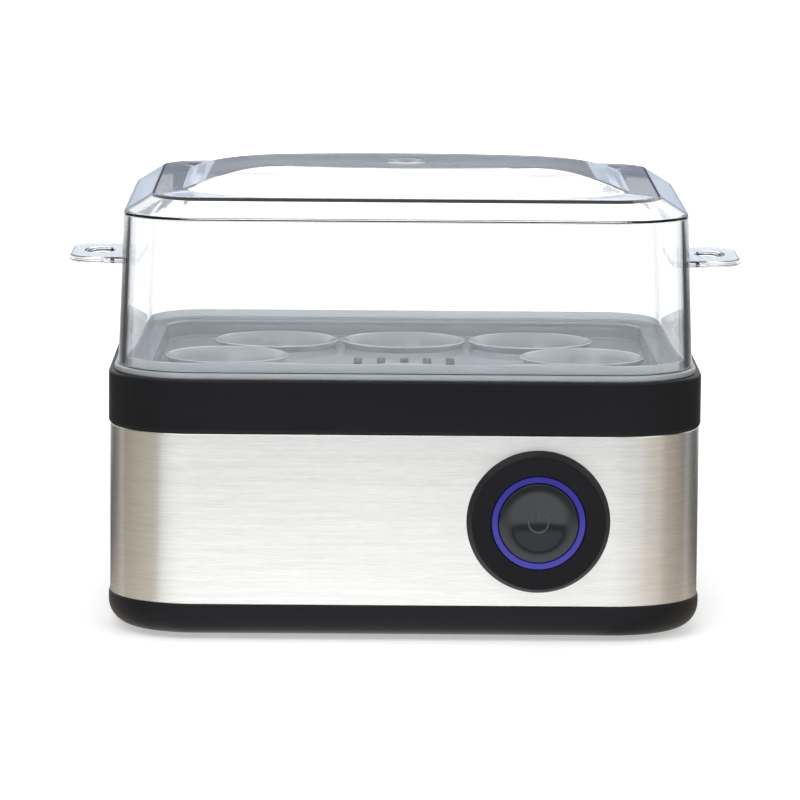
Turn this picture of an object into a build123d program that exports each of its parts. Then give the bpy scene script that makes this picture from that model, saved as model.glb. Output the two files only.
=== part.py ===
"""Electric egg cooker: a rounded rectangular base with a steel band and one push
button, a clear eight-seat egg tray and a clear lid with an ear at each end.

X runs to the right along the front, Y to the rear and Z up. The origin lies on the
surface that the feet stand on, under the centre of the body. Lengths are in mm.
"""

from build123d import *
from math import asin, atan2, cos, degrees, sqrt, tan
import os

os.makedirs("parts", exist_ok=True)

# The body seen from above
body_width = 200.0
body_depth = 160.0
body_corner = 30.0

# Heights of the outer pieces, each counted from the top of the one below
foot_gap = 1.5
pan_height = 10.8
band_height = 57.7
ring_height = 18.0
tray_flange = 2.0
lid_wall_height = 51.6
shoulder_rise = 5.9
plateau_rise = 6.7

# Clearances
fit_gap = 0.2
lift_gap = 0.6
tub_gap = 0.5
press_gap = 0.3
screw_gap = 0.1
lip_overlap = 1.0

# Bottom pan and its feet
pan_wall = 2.5
pan_floor = 2.5
pan_under_radius = 8.0
lip_wall = 1.8
lip_height = 3.0
foot_radius = 6.0
foot_pocket = 1.5
foot_pad_radius = 9.0
foot_pad_height = 2.0
foot_inset = (22.0, 23.0)
boss_radius = 5.0
boss_height = 8.5
screw_inset = (19.0, 38.0)
housing_screw_radius = 1.5
housing_screw_head = 3.0
housing_screw_head_height = 2.0
housing_screw_length = 16.0
screw_seat_height = 4.0
air_slot_length = 34.0
air_slot_width = 2.5
air_slot_pitch = 7.0
air_slot_count = 6

# Steel band
band_inset = 0.5
band_sheet = 0.6

# Top ring with its recess, deck and posts
ring_wall = 2.6
ring_land = 2.5
ring_lower_radius = 1.3
ring_upper_radius = 0.9
recess_inset = 10.0
recess_wall = 2.0
recess_depth = 22.0
deck_thickness = 2.2
deck_shelf = 16.0
opening_corner = 20.0
post_radius = 4.0
post_bore_depth = 14.0
rib_thickness = 1.6
rib_spacing = 45.0

# Heating plate and what it stands on
gasket_height = 1.2
plate_sheet = 1.0
plate_lap = 6.0
well_gap = 2.0
well_depth = 8.0
well_taper = 10.0
well_radius = 3.0
stud_radius = 1.5
stud_length = 8.6
stud_inset = (25.0, 50.0)
washer_radius = 3.5
washer_height = 0.8
nut_radius = 3.2
nut_height = 2.4

# Heater under the plate
spreader_size = (104.0, 76.0)
spreader_corner = 20.0
spreader_height = 3.0
element_radius = 3.2
element_bend = 12.0
element_half_width = 40.0
element_half_depth = 26.0
element_leg_place = 12.0
element_leg_length = 24.0
pin_radius = 1.1
pin_length = 9.0
clip_screw_radius = 1.25
clip_screw_head = 2.4
clip_screw_head_height = 1.4
clip_screw_grip = 2.2
thermostat_radius = 8.2
thermostat_height = 7.0
thermostat_flange = (27.0, 9.0, 0.8)
thermostat_flange_corner = 3.0
thermostat_screw_place = 10.8
blade_size = (0.8, 6.3, 8.0)
blade_place = 4.0
fuse_place = 26.0
fuse_radius = 2.0
fuse_length = 11.0
fuse_lead_radius = 0.5
fuse_lead_length = 10.0
sleeve_wall = 0.6
sleeve_length = 20.0
clip_sheet = 0.7
clip_width = 6.0
clip_span = 19.0
clip_screw_place = 7.0

# Mains connection
block_size = (26.0, 16.0, 12.0)
block_place = (-34.0, 48.0)
block_pole_pitch = 11.0
block_screw_pitch = 8.0
block_bore_radius = 1.8
block_screw_radius = 1.6
block_screw_length = 4.5
gland_height = 25.5
gland_bore = 3.6
gland_body = 6.0
gland_flange = 9.0
gland_nose = 6.4
gland_proud = 4.5
gland_inner_length = 11.0
gland_nut_height = 3.0

# Push button
button_place = 44.6
button_rise = 28.85
bezel_radius = 24.0
bezel_face_radius = 22.3
bezel_proud = 4.5
bezel_face_dip = 1.0
bezel_edge_round = 0.7
bezel_bore = 15.9
bezel_tube = 19.5
bezel_tube_length = 13.5
ring_nut_radius = 21.6
ring_nut_height = 4.0
ring_nut_notches = 8
light_ring_inner = 13.1
light_ring_front = 1.2
light_ring_length = 6.8
led_size = (3.2, 1.6, 1.1)
led_count = 4
board_thickness = 1.6
board_bore = 5.3
holder_disc = 2.0
holder_spigot_wall = 2.2
holder_arm = (2.0, 10.0)
holder_hook = (1.2, 1.5)
cap_front = 0.9
cap_thickness = 5.0
cap_dish_radius = 9.5
cap_dish_depth = 1.3
cap_edge_round = 0.5
cap_stem = 4.5
button_travel = 2.0
switch_size = (14.0, 14.0, 16.0)
switch_corner = 0.4
plunger_radius = 2.5
plunger_length = 7.7
tab_size = (2.8, 0.5, 6.0)
tab_pitch = 7.0

# Egg tray
tray_inset = 2.0
tray_wall = 1.8
tray_depth = 6.0
tray_plate = 2.0
tray_rib_height = 3.0
tray_rib_wall = 1.5
seat_mouth = 20.5
seat_throat = 15.5
seat_height = 7.0
seat_rise = 2.5
seat_wall = 1.7
outer_row = (45.0, 43.0)
middle_row = 62.0
steam_slot = (3.0, 22.0)
steam_slot_pitch = 8.0
steam_slot_count = 5

# Lid
lid_inset = 3.2
lid_draft = 1.9
lid_wall = 2.2
shoulder_width = 9.5
crown_inset = (23.5, 16.0)
crown_corner = 34.0
vault_inset = 24.0
vault_radius = 84.0
plateau_width = 53.0
plateau_end_width = 18.6
vent_recess_radius = 7.2
vent_recess_depth = 0.9
vent_radius = 4.0
ear_height = 32.5
ear_reach = 20.5
ear_depth = 47.0
ear_corner = 6.0
ear_thickness = 2.2
ear_hole = (11.0, 18.0)
ear_hole_place = 10.6

# Levels and places that follow
pan_top = foot_gap + pan_height
band_top = pan_top + band_height
ring_top = band_top + ring_height
flange_top = ring_top + tray_flange
crease_level = flange_top + lid_wall_height
shoulder_level = crease_level + shoulder_rise
plateau_level = shoulder_level + plateau_rise
floor_level = foot_gap + pan_floor
lip_inset = band_inset + band_sheet + fit_gap
boss_top = foot_gap + boss_height
screw_seat = foot_gap + screw_seat_height
deck_top = ring_top - recess_depth
deck_bottom = deck_top - deck_thickness
opening_inset = recess_inset + recess_wall + deck_shelf
plate_level = deck_top + gasket_height
well_bottom = plate_level - well_depth
spreader_bottom = well_bottom - spreader_height
band_front = -body_depth / 2 + band_inset
band_rear = -band_front
corner_signs = [(-1, -1), (1, -1), (-1, 1), (1, 1)]


def corner_points(inset):
    """Gives four plan points, each moved in by inset from the ends and sides of the body."""
    return [(x * (body_width / 2 - inset[0]), y * (body_depth / 2 - inset[1])) for x, y in corner_signs]


foot_points = corner_points(foot_inset)
screw_points = corner_points(screw_inset)
stud_points = corner_points(stud_inset)
crown_base = (body_width - 2 * crown_inset[0], body_depth - 2 * crown_inset[1])
crown_split = crown_base[0] / 2 - crown_corner
vault_half = body_width / 2 - vault_inset
plateau_half = vault_half - sqrt(vault_radius**2 - (vault_radius - plateau_rise) ** 2)


def at_level(points, level):
    """Gives each plan point a height."""
    return [(x, y, level) for x, y in points]


def column(points, radius, low, high, mode=Mode.ADD):
    """Adds or cuts an upright round column at each plan point."""
    with Locations(*at_level(points, low)):
        Cylinder(radius, high - low, align=(Align.CENTER, Align.CENTER, Align.MIN), mode=mode)


def body_layer(inset, low, high, mode=Mode.ADD):
    """Adds or cuts the body's outline, moved in by inset, between two heights."""
    with BuildSketch(Plane.XY.offset(low)) as outline:
        RectangleRounded(body_width - 2 * inset, body_depth - 2 * inset, body_corner - inset)
    extrude(outline.sketch, amount=high - low, mode=mode)


def body_ring(inset, wall, low, high):
    """Adds an upright wall that follows the body's outline."""
    with BuildSketch(Plane.XY.offset(low)) as outline:
        RectangleRounded(body_width - 2 * inset, body_depth - 2 * inset, body_corner - inset)
        offset(amount=-wall, mode=Mode.SUBTRACT)
    extrude(outline.sketch, amount=high - low)


def plate_outline(grow, mode=Mode.ADD):
    """Draws the deck's opening, made larger all round by grow."""
    RectangleRounded(
        body_width - 2 * (opening_inset - grow),
        body_depth - 2 * (opening_inset - grow),
        opening_corner + grow,
        mode=mode,
    )


# Bottom pan: a moulded tub with a lip inside the band, foot pockets and screw bosses
with BuildPart() as pan_hollow:
    body_layer(pan_wall, floor_level, pan_top + lip_height)
    fillet(pan_hollow.faces().sort_by(Axis.Z)[0].edges(), pan_under_radius - pan_wall)

with BuildPart() as base_pan:
    body_layer(0, foot_gap, pan_top)
    fillet(base_pan.faces().sort_by(Axis.Z)[0].edges(), pan_under_radius)
    add(pan_hollow.part, mode=Mode.SUBTRACT)
    body_ring(lip_inset, lip_wall, pan_top - lip_wall, pan_top + lip_height)
    column(foot_points, foot_pad_radius, floor_level, floor_level + foot_pad_height)
    column(screw_points, boss_radius, floor_level, boss_top)
    column(foot_points, foot_radius + screw_gap, foot_gap, foot_gap + foot_pocket, Mode.SUBTRACT)
    column(screw_points, housing_screw_head + fit_gap, foot_gap, screw_seat, Mode.SUBTRACT)
    column(screw_points, housing_screw_radius + fit_gap, screw_seat, boss_top, Mode.SUBTRACT)
    with BuildSketch(Plane.XY.offset(foot_gap)):
        with GridLocations(0, air_slot_pitch, 1, air_slot_count):
            SlotOverall(air_slot_length, air_slot_width)
    extrude(amount=pan_floor, mode=Mode.SUBTRACT)

# Rubber feet, pressed into the pan's pockets
with BuildPart() as rubber_feet:
    column(foot_points, foot_radius, 0, foot_gap + foot_pocket)
    fillet(rubber_feet.edges().filter_by(GeomType.CIRCLE).group_by(Axis.Z)[0], foot_gap / 2)

# Steel band between the pan and the top ring
button_level = pan_top + button_rise
button_front = Plane(origin=(button_place, band_front, button_level), x_dir=(-1, 0, 0), z_dir=(0, 1, 0))
gland_plane = Plane(origin=(0, band_rear, gland_height), x_dir=(1, 0, 0), z_dir=(0, -1, 0))
with BuildPart() as steel_band:
    body_ring(band_inset, band_sheet, pan_top, band_top)
    with BuildSketch(button_front):
        Circle(bezel_tube + fit_gap)
    extrude(amount=pan_wall, both=True, mode=Mode.SUBTRACT)
    with BuildSketch(gland_plane):
        Circle(gland_body + fit_gap)
    extrude(amount=pan_wall, both=True, mode=Mode.SUBTRACT)

# Top ring: outer wall, flat land, recess, deck, lip, ribs and screw posts in one moulding
with BuildPart() as top_ring:
    body_layer(0, band_top, ring_top)
    fillet(top_ring.faces().sort_by(Axis.Z)[0].edges(), ring_lower_radius)
    fillet(top_ring.faces().sort_by(Axis.Z)[-1].edges(), ring_upper_radius)
    body_layer(ring_wall, band_top, ring_top - ring_land, Mode.SUBTRACT)
    body_ring(lip_inset, lip_wall, band_top - lip_height - lip_overlap, band_top + ring_wall)
    with Locations((0, 0, (band_top + ring_top - ring_land) / 2)):
        with GridLocations(rib_spacing, 0, 3, 1):
            Box(rib_thickness, body_depth - ring_wall, ring_height - ring_land)
        with GridLocations(0, rib_spacing, 1, 2):
            Box(body_width - ring_wall, rib_thickness, ring_height - ring_land)
    body_layer(recess_inset, deck_bottom, ring_top)
    body_layer(recess_inset + recess_wall, deck_top, ring_top, Mode.SUBTRACT)
    with BuildSketch(Plane.XY.offset(deck_bottom)):
        plate_outline(0)
    extrude(amount=deck_thickness, mode=Mode.SUBTRACT)
    column(screw_points, post_radius, boss_top, deck_top)
    column(
        screw_points,
        housing_screw_radius + screw_gap,
        boss_top,
        boss_top + post_bore_depth,
        Mode.SUBTRACT,
    )
    column(stud_points, stud_radius + fit_gap, deck_bottom, deck_top, Mode.SUBTRACT)

# Housing screws, from below through the pan into the posts
with BuildPart() as housing_screws:
    column(screw_points, housing_screw_head, screw_seat - housing_screw_head_height, screw_seat)
    column(screw_points, housing_screw_radius, screw_seat, screw_seat + housing_screw_length)

# Plate gasket between the deck and the heating plate's flange
with BuildPart() as plate_gasket:
    with BuildSketch(Plane.XY.offset(deck_top)):
        plate_outline(plate_lap - fit_gap)
        plate_outline(fit_gap, Mode.SUBTRACT)
        with Locations(*stud_points):
            Circle(stud_radius + fit_gap, mode=Mode.SUBTRACT)
    extrude(amount=gasket_height)

# Heating plate: a pressed dish with a water well, a flat flange and four welded studs
with BuildPart() as well_hollow:
    with BuildSketch(Plane.XY.offset(plate_level + plate_sheet)):
        plate_outline(-well_gap - plate_sheet)
    extrude(amount=-well_depth, taper=well_taper)
    fillet(well_hollow.faces().sort_by(Axis.Z)[0].edges(), well_radius - plate_sheet)

with BuildPart() as heating_plate:
    with BuildSketch(Plane.XY.offset(plate_level)):
        plate_outline(-well_gap)
    extrude(amount=-well_depth, taper=well_taper)
    fillet(heating_plate.faces().sort_by(Axis.Z)[0].edges(), well_radius)
    with BuildSketch(Plane.XY.offset(plate_level)):
        plate_outline(plate_lap)
    extrude(amount=plate_sheet)
    add(well_hollow.part, mode=Mode.SUBTRACT)
    column(stud_points, stud_radius, plate_level - stud_length, plate_level)

# Washers, the earth tab and the nuts that hold the plate from below
washer_bottom = deck_bottom - washer_height
with BuildPart() as plate_washers:
    column(stud_points[:3], washer_radius, washer_bottom, deck_bottom)
    column(stud_points[:3], stud_radius + fit_gap, washer_bottom, deck_bottom, Mode.SUBTRACT)

with BuildPart() as earth_tab:
    with BuildSketch(Plane.XY.offset(washer_bottom)):
        with Locations(stud_points[3]):
            Circle(washer_radius)
            Rectangle(blade_size[1], washer_radius + 2 * blade_size[2], align=(Align.CENTER, Align.MAX))
            Circle(stud_radius + fit_gap, mode=Mode.SUBTRACT)
    extrude(amount=washer_height)

with BuildPart() as plate_nuts:
    with BuildSketch(Plane.XY.offset(washer_bottom - nut_height)):
        with Locations(*stud_points):
            RegularPolygon(nut_radius, 6)
            Circle(stud_radius + screw_gap, mode=Mode.SUBTRACT)
    extrude(amount=nut_height)

# Heat spreader under the well, with blind holes for the small screws
clip_screws_at = [
    (-thermostat_screw_place, 0),
    (thermostat_screw_place, 0),
    (fuse_place - clip_screw_place, 0),
    (fuse_place + clip_screw_place, 0),
]
with BuildPart() as heat_spreader:
    with BuildSketch(Plane.XY.offset(spreader_bottom)):
        RectangleRounded(*spreader_size, spreader_corner)
    extrude(amount=spreader_height)
    column(
        clip_screws_at,
        clip_screw_radius + screw_gap,
        spreader_bottom,
        spreader_bottom + clip_screw_grip + screw_gap,
        Mode.SUBTRACT,
    )

# Heating element: a sheathed tube bent into a loop, open at the rear
element_level = spreader_bottom - element_radius
element_leg_end = element_half_depth + element_leg_length
element_points = [
    (-element_leg_place, element_leg_end),
    (-element_leg_place, element_half_depth),
    (-element_half_width, element_half_depth),
    (-element_half_width, -element_half_depth),
    (element_half_width, -element_half_depth),
    (element_half_width, element_half_depth),
    (element_leg_place, element_half_depth),
    (element_leg_place, element_leg_end),
]
with BuildPart() as heating_element:
    with BuildLine(Plane.XY.offset(element_level)) as element_path:
        FilletPolyline(*element_points, radius=element_bend)
    with BuildSketch(Plane(element_path.line @ 0, z_dir=element_path.line % 0)):
        Circle(element_radius)
    sweep()

with BuildPart() as element_pins:
    with BuildSketch(Plane((0, element_leg_end, element_level), x_dir=(-1, 0, 0), z_dir=(0, 1, 0))):
        with GridLocations(2 * element_leg_place, 0, 2, 1):
            Circle(pin_radius)
    extrude(amount=pin_length)

# Boil-dry thermostat on the spreader, with its blades
flange_level = spreader_bottom - thermostat_flange[2]
with BuildPart() as thermostat:
    with Locations((0, 0, flange_level)):
        Box(*thermostat_flange, align=(Align.CENTER, Align.CENTER, Align.MIN))
    fillet(thermostat.edges().filter_by(Axis.Z), thermostat_flange_corner)
    column([(0, 0)], thermostat_radius, flange_level - thermostat_height, flange_level)
    column(
        clip_screws_at[:2],
        clip_screw_radius + screw_gap,
        flange_level,
        spreader_bottom,
        Mode.SUBTRACT,
    )

with BuildPart() as thermostat_blades:
    with Locations((0, 0, flange_level - thermostat_height)):
        with GridLocations(2 * blade_place, 0, 2, 1):
            Box(*blade_size, align=(Align.CENTER, Align.CENTER, Align.MAX))

# Thermal fuse in its sleeve, held by a saddle clip
sleeve_radius = fuse_radius + fit_gap + sleeve_wall
fuse_level = spreader_bottom - sleeve_radius
fuse_plane = Plane(origin=(fuse_place, 0, fuse_level), x_dir=(1, 0, 0), z_dir=(0, -1, 0))
with BuildPart() as thermal_fuse:
    with BuildSketch(fuse_plane):
        Circle(fuse_radius)
    extrude(amount=fuse_length / 2, both=True)
    with BuildSketch(fuse_plane):
        Circle(fuse_lead_radius)
    extrude(amount=fuse_length / 2 + fuse_lead_length, both=True)

with BuildPart() as fuse_sleeve:
    with BuildSketch(fuse_plane):
        Circle(sleeve_radius)
        Circle(fuse_radius + fit_gap, mode=Mode.SUBTRACT)
    extrude(amount=sleeve_length / 2, both=True)

with BuildPart() as fuse_clip:
    with BuildSketch(fuse_plane) as saddle:
        Circle(sleeve_radius + screw_gap + clip_sheet)
        with Locations((0, sleeve_radius)):
            Rectangle(
                2 * (sleeve_radius + screw_gap + clip_sheet),
                sleeve_radius,
                align=(Align.CENTER, Align.MAX),
            )
            Rectangle(clip_span, clip_sheet, align=(Align.CENTER, Align.MAX))
            Rectangle(
                2 * (sleeve_radius + screw_gap),
                sleeve_radius,
                align=(Align.CENTER, Align.MAX),
                mode=Mode.SUBTRACT,
            )
        Circle(sleeve_radius + screw_gap, mode=Mode.SUBTRACT)
        with Locations((0, sleeve_radius)):
            Rectangle(clip_span, clip_span, align=(Align.CENTER, Align.MIN), mode=Mode.SUBTRACT)
    extrude(amount=clip_width / 2, both=True)
    column(
        clip_screws_at[2:],
        clip_screw_radius + screw_gap,
        spreader_bottom - clip_sheet,
        spreader_bottom,
        Mode.SUBTRACT,
    )

# Four identical small screws for the thermostat and the fuse clip
clip_screw_sheets = [thermostat_flange[2]] * 2 + [clip_sheet] * 2
with BuildPart() as clip_screws:
    for place, sheet in zip(clip_screws_at, clip_screw_sheets):
        seat = spreader_bottom - sheet
        column([place], clip_screw_head, seat - clip_screw_head_height, seat)
        column([place], clip_screw_radius, seat, seat + clip_screw_grip)

# Terminal block on the pan's floor, with its clamping screws
block_top = floor_level + block_size[2]
with BuildPart() as terminal_block:
    with Locations((*block_place, floor_level)):
        Box(*block_size, align=(Align.CENTER, Align.CENTER, Align.MIN))
        with GridLocations(block_pole_pitch, 0, 2, 1):
            with Locations(Location((0, 0, block_size[2] / 2), (90, 0, 0))):
                Cylinder(block_bore_radius, block_size[1], mode=Mode.SUBTRACT)
        with GridLocations(block_pole_pitch, block_screw_pitch, 2, 2):
            with Locations((0, 0, block_size[2])):
                Cylinder(
                    block_screw_radius + screw_gap,
                    block_size[2] / 2,
                    align=(Align.CENTER, Align.CENTER, Align.MAX),
                    mode=Mode.SUBTRACT,
                )

with BuildPart() as terminal_screws:
    with Locations((*block_place, block_top - screw_gap)):
        with GridLocations(block_pole_pitch, block_screw_pitch, 2, 2):
            Cylinder(
                block_screw_radius,
                block_screw_length,
                align=(Align.CENTER, Align.CENTER, Align.MAX),
            )

# Cord gland through the rear of the band, with its nut
gland_axis = Axis((0, 0, gland_height), (0, 1, 0))
with BuildPart() as cord_gland:
    with BuildSketch(Plane.XY.offset(gland_height)):
        with BuildLine():
            Polyline(
                (gland_bore, band_rear + gland_proud),
                (gland_nose, band_rear + gland_proud),
                (gland_flange, band_rear),
                (gland_body, band_rear),
                (gland_body, band_rear - gland_inner_length),
                (gland_bore, band_rear - gland_inner_length),
                close=True,
            )
        make_face()
    revolve(axis=gland_axis)

with BuildPart() as gland_nut:
    with BuildSketch(Plane((0, band_rear - band_sheet, gland_height), x_dir=(-1, 0, 0), z_dir=(0, -1, 0))):
        RegularPolygon(gland_flange, 6)
        Circle(gland_body + screw_gap, mode=Mode.SUBTRACT)
    extrude(amount=gland_nut_height)

# Push button, whose pieces are turned about one axis from front to rear
button_axis = Axis((button_place, 0, button_level), (0, 1, 0))
button_profile = Plane((button_place, 0, button_level))
bezel_front = band_front - bezel_proud
bezel_end = band_front + bezel_tube_length
ring_front = bezel_front + light_ring_front
ring_end = ring_front + light_ring_length
board_front = ring_end + led_size[2]
board_end = board_front + board_thickness
holder_end = bezel_end + holder_disc
cap_face = bezel_front + cap_front
stem_end = bezel_end - press_gap


def turned(*corners):
    """Makes a closed profile of radius and depth pairs and turns it about the button's axis."""
    with BuildSketch(button_profile) as profile:
        with BuildLine():
            Polyline(*corners, close=True)
        make_face()
    revolve(profile.sketch, axis=button_axis)


with BuildPart() as button_bezel:
    turned(
        (bezel_bore, bezel_front + bezel_face_dip),
        (bezel_face_radius, bezel_front),
        (bezel_radius, band_front),
        (bezel_tube, band_front),
        (bezel_tube, bezel_end),
        (bezel_bore, bezel_end),
    )
    fillet(button_bezel.edges().filter_by(GeomType.CIRCLE).sort_by(Axis.Y)[0], bezel_edge_round)

with BuildPart() as bezel_nut:
    nut_front = band_front + band_sheet
    turned(
        (bezel_tube + screw_gap, nut_front),
        (ring_nut_radius, nut_front),
        (ring_nut_radius, nut_front + ring_nut_height),
        (bezel_tube + screw_gap, nut_front + ring_nut_height),
    )
    with BuildSketch(Plane(button_front.origin, x_dir=(-1, 0, 0), z_dir=(0, 1, 0))):
        with PolarLocations(ring_nut_radius, ring_nut_notches):
            Rectangle(lip_wall, lip_height)
    extrude(amount=band_sheet + ring_nut_height, mode=Mode.SUBTRACT)

with BuildPart() as light_ring:
    turned(
        (light_ring_inner, ring_front),
        (bezel_bore - fit_gap, ring_front),
        (bezel_bore - fit_gap, ring_end),
        (light_ring_inner, ring_end),
    )

led_circle = (light_ring_inner + bezel_bore - fit_gap) / 2
board_plane = Plane((button_place, board_front, button_level), x_dir=(-1, 0, 0), z_dir=(0, 1, 0))
with BuildPart() as leds:
    with BuildSketch(board_plane):
        with PolarLocations(led_circle, led_count):
            Rectangle(led_size[1], led_size[0])
    extrude(amount=-led_size[2])

with BuildPart() as led_board:
    turned(
        (board_bore, board_front),
        (bezel_bore - fit_gap, board_front),
        (bezel_bore - fit_gap, board_end),
        (board_bore, board_end),
    )

with BuildPart() as switch_holder:
    spigot = bezel_bore - fit_gap
    turned(
        (spigot - holder_spigot_wall, board_end),
        (spigot, board_end),
        (spigot, bezel_end),
        (bezel_tube, bezel_end),
        (bezel_tube, holder_end),
        (board_bore, holder_end),
        (board_bore, bezel_end),
        (spigot - holder_spigot_wall, bezel_end),
    )
    for side in (-1, 1):
        arm_inner = switch_size[0] / 2 + screw_gap
        arm_middle = button_place + side * (arm_inner + holder_arm[0] / 2)
        arm_length = switch_size[2] + holder_hook[1]
        with Locations((arm_middle, holder_end + arm_length / 2, button_level)):
            Box(holder_arm[0], arm_length, holder_arm[1])
        hook_middle = button_place + side * (arm_inner + (holder_arm[0] - holder_hook[0]) / 2)
        with Locations((hook_middle, holder_end + switch_size[2] + holder_hook[1] / 2, button_level)):
            Box(holder_hook[0] + holder_arm[0], holder_hook[1], holder_arm[1])

with BuildPart() as button_cap:
    with BuildSketch(button_profile):
        with BuildLine():
            ThreePointArc(
                (0, cap_face + cap_dish_depth),
                (cap_dish_radius / 2, cap_face + cap_dish_depth * (1 - (1 / 2) ** 2)),
                (cap_dish_radius, cap_face),
            )
            Polyline(
                (cap_dish_radius, cap_face),
                (light_ring_inner - fit_gap, cap_face),
                (light_ring_inner - fit_gap, cap_face + cap_thickness),
                (cap_stem, cap_face + cap_thickness),
                (cap_stem, stem_end),
                (0, stem_end),
                (0, cap_face + cap_dish_depth),
            )
        make_face()
    revolve(axis=button_axis)
    rim = button_cap.edges().filter_by(GeomType.CIRCLE).group_by(Axis.Y)[0].sort_by(SortBy.LENGTH)[-1]
    fillet(rim, cap_edge_round)

# Switch behind the button: body, sliding plunger and two tabs
switch_plane = Plane((button_place, holder_end, button_level), x_dir=(-1, 0, 0), z_dir=(0, 1, 0))
with BuildPart() as switch_body:
    with BuildSketch(switch_plane):
        Rectangle(switch_size[0], switch_size[1])
    extrude(amount=switch_size[2])
    fillet(switch_body.edges().filter_by(Axis.Y), switch_corner)
    with BuildSketch(switch_plane):
        Circle(plunger_radius + screw_gap)
    extrude(amount=plunger_length - holder_disc + button_travel + press_gap, mode=Mode.SUBTRACT)

with BuildPart() as switch_plunger:
    with BuildSketch(Plane((button_place, bezel_end, button_level), x_dir=(-1, 0, 0), z_dir=(0, 1, 0))):
        Circle(plunger_radius)
    extrude(amount=plunger_length)

with BuildPart() as switch_tabs:
    with BuildSketch(switch_plane.offset(switch_size[2])):
        with GridLocations(tab_pitch, 0, 2, 1):
            Rectangle(tab_size[1], tab_size[0])
    extrude(amount=tab_size[2])

# Egg tray: flange, tub, locating rib and eight conical egg seats
seat_points = (
    [(x * outer_row[0], y * outer_row[1]) for y in (-1, 1) for x in (-1, 0, 1)]
    + [(-middle_row, 0), (middle_row, 0)]
)
tray_plate_top = flange_top - tray_depth
tray_plate_bottom = tray_plate_top - tray_plate
seat_top = tray_plate_top + seat_rise
seat_bottom = seat_top - seat_height
rib_inset = lid_inset + lid_wall + lift_gap
tub_inset = recess_inset + recess_wall + tub_gap


def seat_cone(grow, low, high, mode=Mode.ADD):
    """Adds or cuts the seats' cone, widened by grow, between two heights."""
    slope = (seat_mouth - seat_throat) / seat_height
    low_radius = seat_throat + (low - seat_bottom) * slope + grow
    high_radius = seat_throat + (high - seat_bottom) * slope + grow
    with Locations(*at_level(seat_points, low)):
        Cone(low_radius, high_radius, high - low, align=(Align.CENTER, Align.CENTER, Align.MIN), mode=mode)


with BuildPart() as egg_tray:
    body_layer(tray_inset, ring_top, flange_top)
    body_ring(rib_inset, tray_rib_wall, flange_top, flange_top + tray_rib_height)
    body_layer(tub_inset, tray_plate_bottom, ring_top)
    body_layer(tub_inset + tray_wall, tray_plate_top, flange_top, Mode.SUBTRACT)
    seat_cone(seat_wall, seat_bottom, seat_top)
    seat_cone(0, seat_bottom, seat_top, Mode.SUBTRACT)
    with BuildSketch(Plane.XY.offset(tray_plate_bottom)):
        with GridLocations(steam_slot_pitch, 0, steam_slot_count, 1):
            SlotOverall(steam_slot[1], steam_slot[0], rotation=90)
    extrude(amount=tray_plate, mode=Mode.SUBTRACT)


# Lid: drafted wall, sloped shoulder, vaulted crown, vent and two ears, of one thickness
def tapered_stage(low_inset, high_inset, low, high):
    """Adds the body's outline between two heights, closing in from one inset to the other."""
    with BuildSketch(Plane.XY.offset(low)) as outline:
        RectangleRounded(body_width - 2 * low_inset, body_depth - 2 * low_inset, body_corner - low_inset)
    extrude(outline.sketch, amount=high - low, taper=degrees(atan2(high_inset - low_inset, high - low)))


def plateau_place(x, side, inset):
    """Finds the place of the plateau's bowed long edge on one side."""
    half = crown_base[0] / 2
    bulge = (plateau_width - plateau_end_width) / 2
    bow = (half**2 + bulge**2) / (2 * bulge)
    return x, side * (plateau_width / 2 - inset - bow + sqrt(bow**2 - x**2))


def plateau_edge(start, end, side, inset):
    """Draws a stretch of the plateau's bowed long edge between two places along X."""
    ThreePointArc(*[plateau_place(x, side, inset) for x in (start, (start + end) / 2, end)])


def crown_form(wall, inset):
    """Makes the crown: sloped to front and rear, and cut by a vault that falls to both ends."""
    low, high = shoulder_level - wall, plateau_level - wall
    half = crown_base[0] / 2 - inset
    with BuildPart() as crown:
        with BuildSketch(Plane.XY.offset(low)) as foot:
            RectangleRounded(2 * half, crown_base[1] - 2 * inset, crown_corner - inset)
        with BuildSketch(Plane.XY.offset(high)) as top:
            with BuildLine():
                for side in (-1, 1):
                    plateau_edge(-half, -crown_split, side, inset)
                    plateau_edge(-crown_split, crown_split, side, inset)
                    plateau_edge(crown_split, half, side, inset)
                    Line(plateau_place(side * half, -1, inset), plateau_place(side * half, 1, inset))
            make_face()
        loft([foot.sketch, top.sketch], ruled=True)
        radius = vault_radius - wall
        reach = plateau_half + sqrt(radius**2 - (radius - plateau_rise) ** 2)
        middle = radius * (1 - cos(asin((reach - plateau_half) / (2 * radius))))
        with BuildSketch(Plane.XZ) as vault:
            with BuildLine():
                Line((-plateau_half, high), (plateau_half, high))
                for side in (-1, 1):
                    ThreePointArc(
                        (side * plateau_half, high),
                        (side * (plateau_half + reach) / 2, high - middle),
                        (side * reach, low),
                    )
                Line((-reach, low), (reach, low))
            make_face()
        extrude(vault.sketch, amount=body_depth / 2, both=True, mode=Mode.INTERSECT)
    return crown.part


def lid_form(wall):
    """Makes the lid's closed form with every face moved in by wall."""
    slope = atan2(shoulder_rise, shoulder_width)
    crease = crease_level - wall * (1 / cos(slope) - tan(slope))
    shoulder = shoulder_level - wall
    slope_shift = wall * tan(slope / 2)
    crease_inset = lid_inset + lid_draft + wall
    shoulder_inset = lid_inset + lid_draft + shoulder_width + slope_shift
    crown = crown_form(wall, slope_shift)
    with BuildPart() as form:
        tapered_stage(lid_inset + wall, crease_inset, flange_top, crease)
        tapered_stage(crease_inset, shoulder_inset, crease, shoulder)
        add(crown)
    return form.part


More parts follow.
